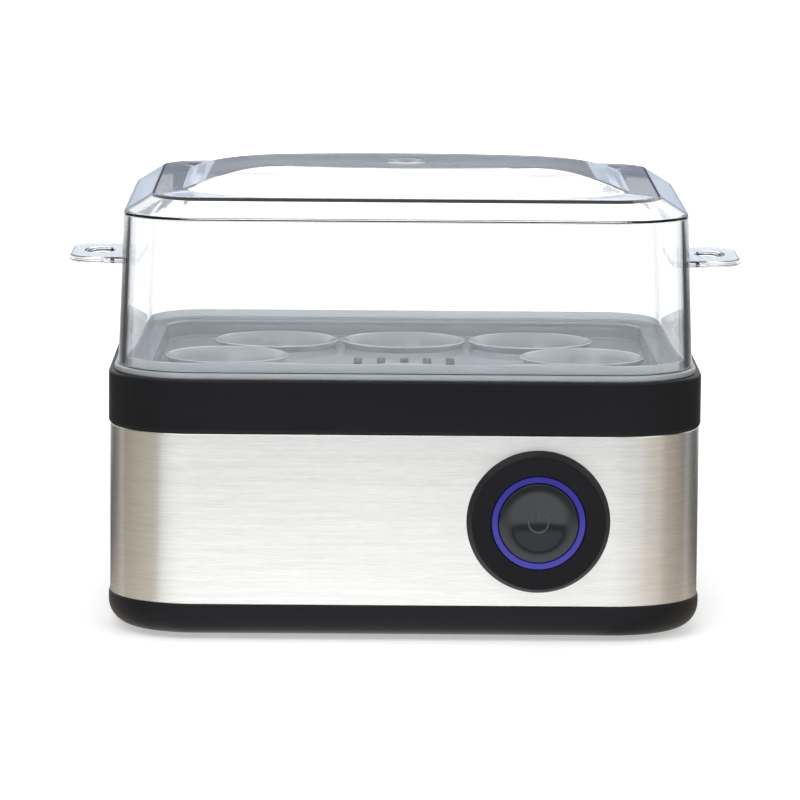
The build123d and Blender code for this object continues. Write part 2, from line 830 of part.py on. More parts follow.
lid_outside = lid_form(0)
lid_inside = lid_form(lid_wall)
ear_level = flange_top + ear_height - ear_thickness
ear_root = body_width / 2 - lid_inset - lid_draft
with BuildPart() as lid:
    add(lid_outside)
    with BuildSketch(Plane.XY.offset(ear_level)):
        RectangleRounded(2 * (ear_root + ear_reach), ear_depth, ear_corner)
    extrude(amount=ear_thickness)
    add(lid_inside, mode=Mode.SUBTRACT)
    with BuildSketch(Plane.XY.offset(ear_level)):
        with GridLocations(2 * (ear_root + ear_hole_place), 0, 2, 1):
            SlotOverall(ear_hole[1], ear_hole[0], rotation=90)
    extrude(amount=ear_thickness, mode=Mode.SUBTRACT)
    column([(0, 0)], vent_radius, shoulder_level, plateau_level, Mode.SUBTRACT)
    column([(0, 0)], vent_recess_radius, plateau_level - vent_recess_depth, plateau_level, Mode.SUBTRACT)

pieces = {
    "base_pan": base_pan,
    "rubber_feet": rubber_feet,
    "steel_band": steel_band,
    "top_ring": top_ring,
    "housing_screws": housing_screws,
    "plate_gasket": plate_gasket,
    "heating_plate": heating_plate,
    "plate_washers": plate_washers,
    "earth_tab": earth_tab,
    "plate_nuts": plate_nuts,
    "heat_spreader": heat_spreader,
    "heating_element": heating_element,
    "element_pins": element_pins,
    "thermostat": thermostat,
    "thermostat_blades": thermostat_blades,
    "thermal_fuse": thermal_fuse,
    "fuse_sleeve": fuse_sleeve,
    "fuse_clip": fuse_clip,
    "clip_screws": clip_screws,
    "terminal_block": terminal_block,
    "terminal_screws": terminal_screws,
    "cord_gland": cord_gland,
    "gland_nut": gland_nut,
    "button_bezel": button_bezel,
    "bezel_nut": bezel_nut,
    "light_ring": light_ring,
    "leds": leds,
    "led_board": led_board,
    "switch_holder": switch_holder,
    "button_cap": button_cap,
    "switch_body": switch_body,
    "switch_plunger": switch_plunger,
    "switch_tabs": switch_tabs,
    "egg_tray": egg_tray,
    "lid": lid,
}
for name, piece in pieces.items():
    piece.part.label = name
    export_step(piece.part, f"parts/{name}.step")
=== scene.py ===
"""Dresses an electric egg cooker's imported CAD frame: housing, steel band, button, tray and clear lid."""

from math import atan2, cos, pi, radians, sin, tan

import bmesh
import bpy
from bpy.props import FloatProperty, FloatVectorProperty, IntProperty, PointerProperty
from bpy.types import Operator, Panel, PropertyGroup
from mathutils import Matrix, Vector


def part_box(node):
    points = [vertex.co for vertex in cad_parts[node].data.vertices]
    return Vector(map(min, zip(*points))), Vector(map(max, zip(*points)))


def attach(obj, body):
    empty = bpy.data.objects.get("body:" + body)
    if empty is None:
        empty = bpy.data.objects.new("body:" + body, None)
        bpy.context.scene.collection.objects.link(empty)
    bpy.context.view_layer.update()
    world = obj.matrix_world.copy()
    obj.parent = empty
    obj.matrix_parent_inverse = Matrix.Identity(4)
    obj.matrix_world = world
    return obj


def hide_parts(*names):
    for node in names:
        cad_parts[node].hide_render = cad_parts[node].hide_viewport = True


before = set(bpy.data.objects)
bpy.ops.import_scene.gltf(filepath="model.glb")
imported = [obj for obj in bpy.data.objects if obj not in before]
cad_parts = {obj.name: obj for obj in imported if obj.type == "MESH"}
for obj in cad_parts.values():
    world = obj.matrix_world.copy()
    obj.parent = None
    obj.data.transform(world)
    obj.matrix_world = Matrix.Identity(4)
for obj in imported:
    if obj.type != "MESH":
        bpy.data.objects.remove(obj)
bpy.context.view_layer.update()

bl_info = {
    "name": "Egg Cooker Dressing",
    "version": (1, 0, 0),
    "blender": (4, 5, 0),
    "location": "View3D > Sidebar > Egg Cooker",
    "description": "Models the shown pieces and finishes of an egg cooker on its packed frame",
    "category": "Add Mesh",
}

MM = 0.001
BOXES = {name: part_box(name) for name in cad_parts}
QUADRANTS = ((-1, -1), (1, -1), (-1, 1), (1, 1))
NEAR = 0.02 * MM

# Where pieces stand, in plan for those on the body and on the front or rear for the button and the gland

FOOT_PLACES = [(x * 78 * MM, y * 57 * MM) for x, y in QUADRANTS]
SCREW_PLACES = [(x * 81 * MM, y * 42 * MM) for x, y in QUADRANTS]
SEAT_PLACES = [(x * MM, y * MM) for y in (-43, 43) for x in (-45, 0, 45)] + [(-62 * MM, 0), (62 * MM, 0)]
BUTTON_CENTRE = ((BOXES["button_cap"][0].x + BOXES["button_cap"][1].x) / 2, 0,
                 (BOXES["button_cap"][0].z + BOXES["button_cap"][1].z) / 2)
GLAND_CENTRE = (0, 0, (BOXES["cord_gland"][0].z + BOXES["cord_gland"][1].z) / 2)


# Sizes and colours that a user would change


def length(label, value, words):
    """Makes a size property whose default is given in millimetres."""
    return FloatProperty(name=label, description=words, default=value * MM, precision=5, unit="LENGTH")


def colour(label, value, words):
    """Makes a colour property."""
    return FloatVectorProperty(name=label, description=words, default=value, size=3, min=0, max=1, subtype="COLOR")


class CookerSizes(PropertyGroup):
    """Sizes of the shown pieces."""

    half_width: length("Half width", BOXES["base_pan"][1].x / MM, "Half of the body's width")
    half_depth: length("Half depth", BOXES["base_pan"][1].y / MM, "Half of the body's depth")
    corner: length("Corner radius", 30.0, "Radius of the body's upright corners")
    corner_steps: IntProperty(name="Corner steps", description="Faces in each upright corner", default=20, min=4)
    turn_steps: IntProperty(name="Turn steps", description="Faces round each turned piece", default=96, min=12)
    band_inset: length("Band inset", 0.5, "How far the band stands inside the housing's outline")
    band_sheet: length("Band sheet", 0.6, "Thickness of the steel band")
    wall: length("Lid wall", 2.2, "Thickness of the lid")
    lid_inset: length("Lid inset", 3.2, "How far the lid's lower edge stands inside the outline")
    lid_draft: length("Lid draft", 1.9, "How far the lid's wall leans in over its height")
    shoulder_width: length("Shoulder width", 9.5, "Plan width of the lid's sloped shoulder")
    shoulder_rise: length("Shoulder rise", 5.9, "Height of the lid's sloped shoulder")
    plateau_rise: length("Plateau rise", 6.7, "Height of the plateau over the shoulder")
    plateau_half: length("Plateau half", 26.5, "Half of the plateau's depth in the middle")
    plateau_end: length("Plateau end", 9.3, "Half of the plateau's depth where the vault meets the land")
    crown_half: FloatVectorProperty(
        name="Crown half", description="Half of the crown's foot", default=(76 * MM, 64 * MM), size=2, unit="LENGTH"
    )
    crown_corner: length("Crown corner", 34.0, "Radius of the corners of the crown's foot")
    vault_radius: length("Vault radius", 84.0, "Radius of the crown's fall to both sides")
    crease_round: length("Crease rounding", 0.5, "Radius of the lid's creases, inside and out")
    arch_round: length("Arch rounding", 0.2, "Rounding where the crown's front meets its vault")
    button_radius: length("Button radius", 13.3, "Radius of the button's cap")


class CookerColours(PropertyGroup):
    """Colours of the main finishes."""

    housing: colour("Housing", (0.010, 0.0098, 0.0125), "Satin black plastic")
    steel: colour("Steel", (0.785, 0.78, 0.765), "Brushed stainless steel")
    clear: colour("Clear plastic", (0.965, 0.978, 0.99), "Lid")
    tray: colour("Tray plastic", (0.86, 0.91, 0.94), "Milky egg tray")
    light: colour("Light ring", (0.022, 0.016, 0.27), "Ring round the button")
    cap: colour("Button cap", (0.013, 0.015, 0.019), "Pressed part of the button")
    coating: colour("Plate coating", (0.07, 0.07, 0.075), "Heating plate")


# Modelling by hand: picking, moving, walking a profile, turning and carving


def leave_edit():
    """Goes back to object mode with nothing selected."""
    if bpy.context.object and bpy.context.object.mode != "OBJECT":
        bpy.ops.object.mode_set(mode="OBJECT")
    bpy.ops.object.select_all(action="DESELECT")


def take(*pieces):
    """Selects these pieces alone; the first is the active one."""
    leave_edit()
    for piece in pieces:
        piece.select_set(True)
    bpy.context.view_layer.objects.active = pieces[0]
    return pieces[0]


def edit(piece):
    """Opens one piece in edit mode with all of it selected."""
    take(piece)
    bpy.ops.object.mode_set(mode="EDIT")
    bpy.ops.mesh.select_all(action="SELECT")


def named(name):
    """Names the new piece and sets its place into its mesh."""
    piece = bpy.context.object
    piece.name = piece.data.name = name
    bpy.ops.object.transform_apply(location=True, rotation=True, scale=True)
    return piece


def pick_none(kind):
    """Selects nothing and changes to picking one kind of part."""
    bpy.ops.mesh.select_mode(type=kind)
    bpy.ops.mesh.select_all(action="DESELECT")


def pick_all(kind):
    """Selects every part of one kind."""
    bpy.ops.mesh.select_mode(type=kind)
    bpy.ops.mesh.select_all(action="SELECT")


def pick(test, kind="VERT"):
    """Selects what passes a test of its place and direction in the piece that is being edited."""
    pick_none(kind)
    mesh = bpy.context.object.data
    shape = bmesh.from_edit_mesh(mesh)
    found = False
    for part in {"VERT": shape.verts, "EDGE": shape.edges, "FACE": shape.faces}[kind]:
        if kind == "VERT":
            place, way = part.co, part.normal
        elif kind == "EDGE":
            place, way = (part.verts[0].co + part.verts[1].co) / 2, part.verts[1].co - part.verts[0].co
        else:
            place, way = part.calc_center_median(), part.normal
        if test(place, way):
            part.select_set(True)
            found = True
    shape.select_flush_mode()
    bmesh.update_edit_mesh(mesh)
    if not found:
        raise RuntimeError(f"nothing was picked in {bpy.context.object.name}")


def pick_open_edges():
    """Selects the edges where the piece that is being edited is open."""
    pick_none("EDGE")
    bpy.ops.mesh.select_non_manifold(use_wire=False, use_multi_face=False, use_non_contiguous=False, use_verts=False)


def crease(level, half_x, half_y, radius):
    """Tests whether an edge lies level at a height and on a rounded rectangle."""

    def on_crease(place, way):
        past_x, past_y = abs(place.x) - half_x + radius, abs(place.y) - half_y + radius
        outside = (max(past_x, 0) ** 2 + max(past_y, 0) ** 2) ** 0.5
        on_outline = abs(outside + min(max(past_x, past_y), 0) - radius) < 3 * NEAR
        return on_outline and abs(place.z - level) <= NEAR and abs(way.z) <= NEAR

    return on_crease


def round_edges(test, width, parts=4):
    """Rounds the edges that pass a test in the piece that is being edited."""
    pick(test, "EDGE")
    bpy.ops.mesh.bevel(offset=width, segments=parts, affect="EDGES")


def move(x=0.0, y=0.0, z=0.0):
    """Moves what is picked."""
    bpy.ops.transform.translate(value=(x, y, z))


def stretch(x, y, z, about):
    """Scales what is picked about a point."""
    bpy.ops.transform.resize(value=(x, y, z), center_override=about)


def clean():
    """Merges doubles and turns every face outwards."""
    bpy.ops.mesh.select_all(action="SELECT")
    bpy.ops.mesh.remove_doubles(threshold=0.2 * NEAR)
    bpy.ops.mesh.normals_make_consistent(inside=False)


def outline(name, half_x, half_y, radius, level, steps, centre=(0.0, 0.0)):
    """Adds a plane at its size and rounds its four corners."""
    leave_edit()
    bpy.ops.mesh.primitive_plane_add(size=2, location=(centre[0], centre[1], level))
    bpy.context.object.scale = (half_x, half_y, 1)
    piece = named(name)
    edit(piece)
    if radius:
        bpy.ops.mesh.bevel(offset=radius, segments=steps, affect="VERTICES")
    pick_all("FACE")
    return piece


def bend(radius, first, way, parts=4):
    """Gives the inset and rise steps of a quarter round that starts on a wall or on a land."""
    angles = [pi / 2 * i / parts for i in range(parts + 1)]
    flat = [(radius * sin(a), radius * (1 - cos(a))) for a in angles]
    points = [(b, a) for a, b in flat] if first == "wall" else flat
    return [(b[0] - a[0], way * (b[1] - a[1])) for a, b in zip(points, points[1:])]


def walk(*steps):
    """Insets the picked face step by step, each with its inset and its rise in millimetres."""
    for inset, rise in steps:
        bpy.ops.mesh.inset(thickness=inset * MM, depth=rise * MM)


def walk_below(level, *steps):
    """Closes the open lower edge with a face that looks down and walks on from it."""
    pick_open_edges()
    bpy.ops.mesh.edge_face_add()
    clean()
    pick(lambda place, way: way.z < -0.9 and abs(place.z - level) < NEAR, "FACE")
    walk(*steps)


def bridge(upper, lower):
    """Takes out the two end faces at these heights and joins their edges by a wall."""
    mesh = bpy.context.object.data
    pick_none("FACE")
    shape = bmesh.from_edit_mesh(mesh)
    most = max(len(face.verts) for face in shape.faces)
    for face in shape.faces:
        if len(face.verts) == most and min(abs(face.calc_center_median().z - z) for z in (upper, lower)) < NEAR:
            face.select_set(True)
    bmesh.update_edit_mesh(mesh)
    bpy.ops.mesh.delete(type="FACE")
    pick_open_edges()
    bpy.ops.mesh.bridge_edge_loops()
    clean()


def turn(name, profile, centre, upright=True, steps=96):
    """Draws a profile of radius and place pairs, in millimetres, from one vertex and spins it round its axis."""
    leave_edit()
    closed = profile[0][0] > 0 or profile[-1][0] > 0
    corners = [*profile, profile[0]] if closed else list(profile)
    points = [Vector((r, 0, h) if upright else (r, h, 0)) * MM for r, h in corners]
    middle = Vector(centre)
    bpy.ops.mesh.primitive_plane_add(size=MM, location=middle + points[0])
    piece = named(name)
    edit(piece)
    pick_all("VERT")
    bpy.ops.mesh.merge(type="CENTER")
    for before, after in zip(points, points[1:]):
        bpy.ops.mesh.extrude_region_move(TRANSFORM_OT_translate={"value": after - before})
    bpy.ops.mesh.select_all(action="SELECT")
    bpy.ops.mesh.remove_doubles(threshold=0.2 * NEAR)
    bpy.ops.mesh.select_all(action="SELECT")
    bpy.ops.mesh.spin(steps=steps, angle=2 * pi, center=middle, axis=(0, 0, 1) if upright else (0, 1, 0))
    clean()
    return piece


def drum(radius, low, high, centre, upright=True, steps=48):
    """Turns a plain closed drum, as a tool for carving."""
    return turn("drum", ((0, low), (radius, low), (radius, high), (0, high)), centre, upright, steps)


def slot_tool(half_x, half_y, low, high, centre):
    """Makes a rounded slot to carve with."""
    radius = min(half_x, half_y) * 0.998
    tool = outline("slot_tool", half_x * MM, half_y * MM, radius * MM, low * MM, 12, centre)
    walk((0, high - low))
    walk_below(low * MM)
    return tool


def repeat(piece, places):
    """Copies a piece modelled at the first plan place to the others, and joins them into one."""
    leave_edit()
    copies = [piece]
    for place in places[1:]:
        take(piece)
        bpy.ops.object.duplicate()
        copy = bpy.context.object
        copy.location = (place[0] - places[0][0], place[1] - places[0][1], 0)
        bpy.ops.object.transform_apply(location=True, rotation=False, scale=False)
        copies.append(copy)
    return join(copies)


def join(pieces):
    """Joins pieces into the first of them."""
    first = take(*pieces)
    if len(pieces) > 1:
        bpy.ops.object.join()
    return first


def carve(piece, tool, operation="DIFFERENCE"):
    """Cuts or adds one shape with another, which is used up."""
    take(piece)
    modifier = piece.modifiers.new("Carve", "BOOLEAN")
    modifier.operation = operation
    modifier.solver = "EXACT"
    modifier.object = tool
    bpy.ops.object.modifier_apply(modifier=modifier.name)
    bpy.data.objects.remove(tool)


def soften(piece, width, angle=30.0, segments=3):
    """Rounds the edges of a piece that turn by more than an angle."""
    take(piece)
    modifier = piece.modifiers.new("Soften", "BEVEL")
    modifier.width = width
    modifier.segments = segments
    modifier.limit_method = "ANGLE"
    modifier.angle_limit = radians(angle)
    modifier.use_clamp_overlap = True
    modifier.miter_outer = "MITER_ARC"
    bpy.ops.object.modifier_apply(modifier=modifier.name)


def hand_over(piece, body, stands_for, finish):
    """Shades a finished piece, gives it its finish and sets it on its body."""
    edit(piece)
    clean()
    take(piece)
    bpy.ops.object.shade_smooth_by_angle(angle=radians(35))
    modifier = piece.modifiers.new("Normals", "WEIGHTED_NORMAL")
    modifier.keep_sharp = True
    modifier.weight = 80
    bpy.ops.object.modifier_apply(modifier=modifier.name)
    piece.data.materials.clear()
    piece.data.materials.append(finish)
    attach(piece, body)
    if stands_for:
        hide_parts(*stands_for)
    leave_edit()
    return piece


# Shader maths


class Value:
    """A node output; arithmetic on it adds Math nodes."""

    def __init__(self, finish, socket):
        self.finish = finish
        self.socket = socket

    def output(self, key):
        return Value(self.finish, self.socket.node.outputs[key])

    def math(self, operation, *others):
        return self.finish.add("ShaderNodeMath", {"operation": operation}, dict(enumerate((self, *others))))

    def __add__(self, other):
        return self.math("ADD", other)

    def __sub__(self, other):
        return self.math("SUBTRACT", other)

    def __mul__(self, other):
        return self.math("MULTIPLY", other)

    def __truediv__(self, other):
        return self.math("DIVIDE", other)

    def __rsub__(self, other):
        return self.finish.add("ShaderNodeMath", {"operation": "SUBTRACT"}, {0: other, 1: self})

    __radd__ = __add__
    __rmul__ = __mul__


class Finish:
    """The nodes of one material or of the world."""

    def __init__(self, name, owner=None):
        self.owner = owner or bpy.data.materials.new(name)
        self.owner.use_nodes = True
        self.tree = self.owner.node_tree
        self.tree.nodes.clear()

    def add(self, kind, settings=None, inputs=None):
        """Adds any node: first its settings, then the values or links of its sockets."""
        node = self.tree.nodes.new(kind)
        for name, value in (settings or {}).items():
            if name == "stops":
                self.set_stops(node.color_ramp, value)
            else:
                setattr(node, name, value)
        for key, value in (inputs or {}).items():
            if isinstance(value, Value):
                self.tree.links.new(value.socket, node.inputs[key])
            else:
                node.inputs[key].default_value = value
        return Value(self, node.outputs[0]) if node.outputs else None

    @staticmethod
    def set_stops(ramp, stops):
        while len(ramp.elements) < len(stops):
            ramp.elements.new(0.5)
        for element, (place, tint) in zip(ramp.elements, stops):
            element.position = place
            element.color = (*tint, 1) if hasattr(tint, "__len__") else (tint, tint, tint, 1)

    def place(self, *scale):
        """Object coordinates, scaled along X, Y and Z."""
        where = self.add("ShaderNodeTexCoord").output("Object")
        return self.add("ShaderNodeMapping", {}, {"Vector": where, "Scale": scale})

    def noise(self, scale, detail=2.0, rough=0.5):
        """Noise between 0 and 1 whose grain is scale to the metre along X, Y and Z."""
        inputs = {"Vector": self.place(*scale), "Scale": 1.0, "Detail": detail, "Roughness": rough}
        return self.add("ShaderNodeTexNoise", {}, inputs)

    def ramp(self, value, *stops):
        return self.add("ShaderNodeValToRGB", {"stops": stops}, {0: value})

    def mix(self, factor, first, second):
        """Blends two colours."""
        tint = [c if isinstance(c, Value) else (*c[:3], 1) for c in (first, second)]
        inputs = {0: factor, 6: tint[0], 7: tint[1]}
        return self.add("ShaderNodeMix", {"data_type": "RGBA", "clamp_factor": True}, inputs).output(2)

    def bump(self, height, distance, strength=1.0):
        return self.add("ShaderNodeBump", {}, {"Height": height, "Distance": distance, "Strength": strength})

    def surface(self, inputs):
        """Ends the material in a Principled shader with these sockets."""
        shader = self.add("ShaderNodeBsdfPrincipled", {}, inputs)
        self.add("ShaderNodeOutputMaterial", {}, {"Surface": shader})
        return self.owner


def shade(tint, factor):
    """A colour made darker or lighter."""
    return tuple(min(1.0, c * factor) for c in tint[:3])


# Finishes


def satin_plastic(name, tint, roughness=0.42, specular=0.15):
    """Moulded satin plastic: fine spark-eroded grain, faint flow marks and rubbed patches."""
    finish = Finish(name)
    grain = finish.noise((2600, 2600, 2600), 3.0, 0.6)
    flow = finish.noise((28, 28, 60), 3.0)
    tone = finish.mix(flow, shade(tint, 0.85), shade(tint, 1.2))
    return finish.surface({
        "Base Color": tone,
        "Roughness": roughness - 0.05 + flow * 0.08 + grain * 0.04,
        "Specular IOR Level": specular,
        "Normal": finish.bump(grain, 0.012 * MM, 0.5),
    })


def gloss_plastic(name, tint, roughness):
    """Polished plastic with hairline marks."""
    finish = Finish(name)
    hair = finish.noise((900, 900, 120), 4.0, 0.7)
    cloud = finish.noise((90, 90, 90), 2.0)
    return finish.surface({
        "Base Color": finish.mix(cloud, shade(tint, 0.9), shade(tint, 1.1)),
        "Roughness": roughness + hair * 0.05 + cloud * 0.03,
        "Normal": finish.bump(cloud, 0.01 * MM, 0.2),
    })


def brushed_steel(name, tint):
    """Stainless sheet with long horizontal scratches that catch the light upright."""
    finish = Finish(name)
    fine = finish.noise((150, 150, 3200), 3.0, 0.7)
    broad = finish.noise((30, 30, 900), 3.0, 0.65)
    cloud = finish.noise((16, 16, 40), 2.0)
    streaks = fine * 0.6 + broad * 0.4
    tone = finish.mix(streaks, shade(tint, 0.66), shade(tint, 1.27))
    return finish.surface({
        "Base Color": tone,
        "Metallic": 1.0,
        "Roughness": 0.24 + streaks * 0.10 + cloud * 0.03,
        "Anisotropic": 0.9,
        "Anisotropic Rotation": 0.25,
        "Normal": finish.bump(streaks, 0.006 * MM, 0.6),
    })


def metal(name, tint, roughness=0.3, scratch=(700, 700, 700)):
    """Plain worked metal with fine scratches and a dull bloom."""
    finish = Finish(name)
    lines = finish.noise(scratch, 4.0, 0.7)
    bloom = finish.noise((70, 70, 70), 3.0)
    return finish.surface({
        "Base Color": finish.mix(bloom, shade(tint, 0.82), shade(tint, 1.1)),
        "Metallic": 1.0,
        "Roughness": roughness - 0.06 + lines * 0.10 + bloom * 0.08,
        "Normal": finish.bump(lines, 0.01 * MM, 0.4),
    })


def coated_plate(name, tint):
    """Dark non-stick coating with small pale specks."""
    finish = Finish(name)
    grain = finish.noise((1500, 1500, 1500), 3.0, 0.6)
    specks = finish.ramp(finish.noise((2200, 2200, 2200), 1.0), (0.66, 0.0), (0.72, 1.0))
    tone = finish.mix(specks * 0.35, finish.mix(grain, shade(tint, 0.8), shade(tint, 1.25)), (0.5, 0.5, 0.5))
    return finish.surface({
        "Base Color": tone,
        "Roughness": 0.38 + grain * 0.12,
        "Normal": finish.bump(grain, 0.02 * MM, 0.5),
    })


def clear_plastic(name, tint, clearness=1.0, roughness=0.008):
    """Clear or milky moulded plastic: faint flow waves and the haze of fine rubbing."""
    finish = Finish(name)
    waves = finish.noise((22, 22, 14), 2.0)
    haze = finish.noise((260, 260, 260), 4.0, 0.7)
    return finish.surface({
        "Base Color": finish.mix(waves, shade(tint, 0.99), tint),
        "Transmission Weight": clearness,
        "IOR": 1.5,
        "Roughness": roughness + haze * 0.02,
        "Normal": finish.bump(waves, 0.05 * MM, 0.15),
    })


def lit_ring(name, tint):
    """Blue diffuser that glows, with painted light that makes it brighter low down and darker at the top."""
    finish = Finish(name)
    grain = finish.noise((1200, 1200, 1200), 2.0)
    height = finish.add("ShaderNodeSeparateXYZ", {}, {0: finish.place(1, 1, 1)}).output("Z")
    low = BOXES["light_ring"][0].z
    rise = (height - low) / (BOXES["light_ring"][1].z - low)
    return finish.surface({
        "Base Color": finish.mix(grain, shade(tint, 0.8), shade(tint, 1.1)),
        "Roughness": 0.22 + grain * 0.06,
        # Painted light: the glow fades from bright at the ring's foot to dark at its top.
        "Emission Color": finish.mix(rise, shade(tint, 1.25), shade(tint, 0.45)),
        "Emission Strength": 0.35,
        "Coat Weight": 0.2,
    })


# Operators for the pieces


class Builder(Operator):
    """Shared settings of the piece operators."""

    bl_options = {"REGISTER", "UNDO"}

    @property
    def sizes(self):
        return bpy.context.scene.cooker_sizes

    @property
    def colours(self):
        return bpy.context.scene.cooker_colours

    def body_outline(self, name, inset, level, radius=None):
        """Starts a piece on the body's outline, moved in by an inset in millimetres."""
        size = self.sizes
        corner = size.corner - inset * MM if radius is None else radius * MM
        return outline(
            name, size.half_width - inset * MM, size.half_depth - inset * MM, corner, level * MM, size.corner_steps
        )


class COOKER_OT_base_tub(Builder):
    """Models the black tub under the band, with its vents, screw wells and foot pockets"""

    bl_idname = "cooker.base_tub"
    bl_label = "Base Tub"

    def execute(self, context):
        low, high = BOXES["base_pan"][0].z / MM, BOXES["steel_band"][0].z / MM
        under, inner, wall, floor, rim_out, rim_in = 8.0, 5.5, 2.5, 4.0, 0.4, 0.2
        start = low + under + 0.5
        piece = self.body_outline("base_tub", 0, start)
        walk((0, high - start - rim_out), *bend(rim_out, "wall", 1, 3), (wall - rim_out - rim_in, 0))
        walk(*bend(rim_in, "land", -1, 2), (0, floor + inner - high + rim_in), *bend(inner, "wall", -1, 6))
        walk_below(start * MM, (0, start - low - under), *bend(under, "wall", 1, 10))
        pockets = repeat(drum(6.1, low - 1, low + 1.5, (*FOOT_PLACES[0], 0)), FOOT_PLACES)
        wells = repeat(drum(3.2, low - 1, low + 4.0, (*SCREW_PLACES[0], 0)), SCREW_PLACES)
        slot_rows = [(0, (row - 2.5) * 7 * MM) for row in range(6)]
        slots = repeat(slot_tool(17, 1.25, low - 1, floor + 1, slot_rows[0]), slot_rows)
        carve(piece, join([pockets, wells, slots]))
        hand_over(piece, "base", ["base_pan"], satin_plastic("tub_plastic", self.colours.housing))
        return {"FINISHED"}


class COOKER_OT_feet(Builder):
    """Models the four rubber feet with a grooved sole"""

    bl_idname = "cooker.feet"
    bl_label = "Rubber Feet"

    def execute(self, context):
        sole = [(0, 0.25), (1.6, 0.25), (1.9, 0), (2.6, 0), (2.9, 0.25), (3.6, 0.25), (3.9, 0), (5.3, 0)]
        side = [(5.75, 0.15), (6.0, 0.6), (6.0, 2.8), (5.8, 3.0), (0, 3.0)]
        foot = turn("rubber_feet_set", sole + side, (*FOOT_PLACES[0], 0), steps=40)
        piece = repeat(foot, FOOT_PLACES)
        finish = satin_plastic("foot_rubber", (0.018, 0.018, 0.018), 0.75, 0.2)
        hand_over(piece, "base", ["rubber_feet"], finish)
        return {"FINISHED"}


class COOKER_OT_band(Builder):
    """Models the brushed steel band with hemmed edges and holes for the button and the gland"""

    bl_idname = "cooker.band"
    bl_label = "Steel Band"

    def execute(self, context):
        low, high = (corner.z / MM for corner in BOXES["steel_band"])
        sheet, middle, outer = self.sizes.band_sheet / MM, (low + high) / 2, 0.48
        hem = sheet - outer
        edge = [*bend(outer, "wall", 1, 4), *bend(hem, "land", -1, 2)]
        piece = self.body_outline("brushed_band", self.sizes.band_inset / MM, middle)
        walk((0, high - middle - outer), *edge)
        walk_below(middle * MM, (0, middle - low - outer), *edge)
        bridge((high - hem) * MM, (low + hem) * MM)
        front = turn("button_hole", ((0, -90), (19.7, -90), (19.7, -70), (0, -70)), BUTTON_CENTRE, False, 64)
        rear = turn("gland_hole", ((0, 70), (6.2, 70), (6.2, 90), (0, 90)), GLAND_CENTRE, False, 48)
        carve(piece, join([front, rear]))
        hand_over(piece, "base", ["steel_band"], brushed_steel("band_steel", self.colours.steel))
        return {"FINISHED"}


class COOKER_OT_top_ring(Builder):
    """Models the black top ring: outer wall, land, recess, deck and the opening for the plate"""

    bl_idname = "cooker.top_ring"
    bl_label = "Top Ring"

    def execute(self, context):
        low, high, start = BOXES["steel_band"][1].z / MM, BOXES["top_ring"][1].z / MM, 72.0
        deck, deck_under, land_under = high - 22.0, high - 24.2, high - 2.5
        upper, lower, mouth, rim = 0.9, 1.3, 0.6, 0.4
        piece = self.body_outline("housing_ring", 0, start)
        walk((0, high - upper - start), *bend(upper, "wall", 1, 5), (10.5, 0), *bend(mouth, "land", -1, 3))
        walk((0, deck + 1.0 - (high - mouth)), *bend(1.0, "wall", -1, 3), (14.6, 0), *bend(rim, "land", -1, 2))
        walk_below(start * MM, (0, start - low - lower), *bend(lower, "wall", 1, 5), (1.3, 0))
        walk((0, low - land_under), (7.4, 0), (0, land_under - deck_under), (17.6, 0), *bend(rim, "land", -1, 2))
        bridge((deck - rim) * MM, (deck_under + rim) * MM)
        hand_over(piece, "base", ["top_ring"], satin_plastic("ring_plastic", self.colours.housing))
        return {"FINISHED"}


class COOKER_OT_plate(Builder):
    """Models the coated heating plate with its flange, water well and pressed ring"""

    bl_idname = "cooker.plate"
    bl_label = "Heating Plate"

    def execute(self, context):
        top = BOXES["heating_plate"][1].z / MM
        piece = self.body_outline("water_plate", 22, top - 0.5, 26)
        walk((0, 0.3), *bend(0.2, "wall", 1, 2), (7.8, 0), *bend(1.0, "land", -1, 4))
        walk((0.97, -5.5), *bend(1.5, "wall", -1, 4), (7, 0), (0.7, 0.5), (2.5, 0), (0.7, -0.5))
        walk_below((top - 0.5) * MM, (0, 0.3), *bend(0.2, "wall", 1, 2), (7.0, 0), *bend(0.8, "land", 1, 3))
        walk((1.06, 5.2), *bend(2.0, "wall", 1, 4))
        hand_over(piece, "base", ["heating_plate"], coated_plate("plate_coating", self.colours.coating))
        return {"FINISHED"}


